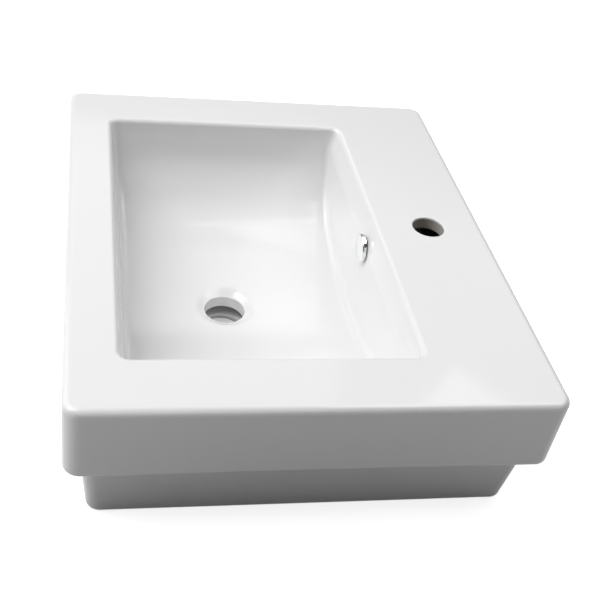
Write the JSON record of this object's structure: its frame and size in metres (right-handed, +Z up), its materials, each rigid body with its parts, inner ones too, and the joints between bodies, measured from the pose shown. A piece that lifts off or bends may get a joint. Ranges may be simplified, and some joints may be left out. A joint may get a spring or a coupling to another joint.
{
  "type": "semi recessed basin",
  "caption": "Rectangular semi recessed washbasin with a deep apron, narrower skirt, tap deck, leaning-walled bowl, waste hole and chrome-capped overflow.",
  "frame": {"origin": "middle of the flat base, on the base: the point below the centre of the bounding box", "axes": "+X along the basin's width to the right of a person who stands at it, +Y from the front to the tap deck at the back, +Z up out of the bowl"},
  "size_m": [0.56, 0.46, 0.155],
  "materials": {
    "white_glaze": "gloss",
    "grey_rubber": "matt",
    "white_plastic": "satin",
    "chrome_plate": "polished"
  },
  "bodies": {
    "basin": {"ceramic_basin": "white_glaze", "overflow_ring": "grey_rubber"},
    "cap": {"overflow_cap": "chrome_plate", "overflow_cap_carrier": "white_plastic"}
  },
  "joints": [
    {"name": "overflow_cap_pull", "type": "slide", "parent": "basin", "child": "cap", "axis": [0, -0.9999, 0.01], "range_m": [0, 0.03]}
  ]
}
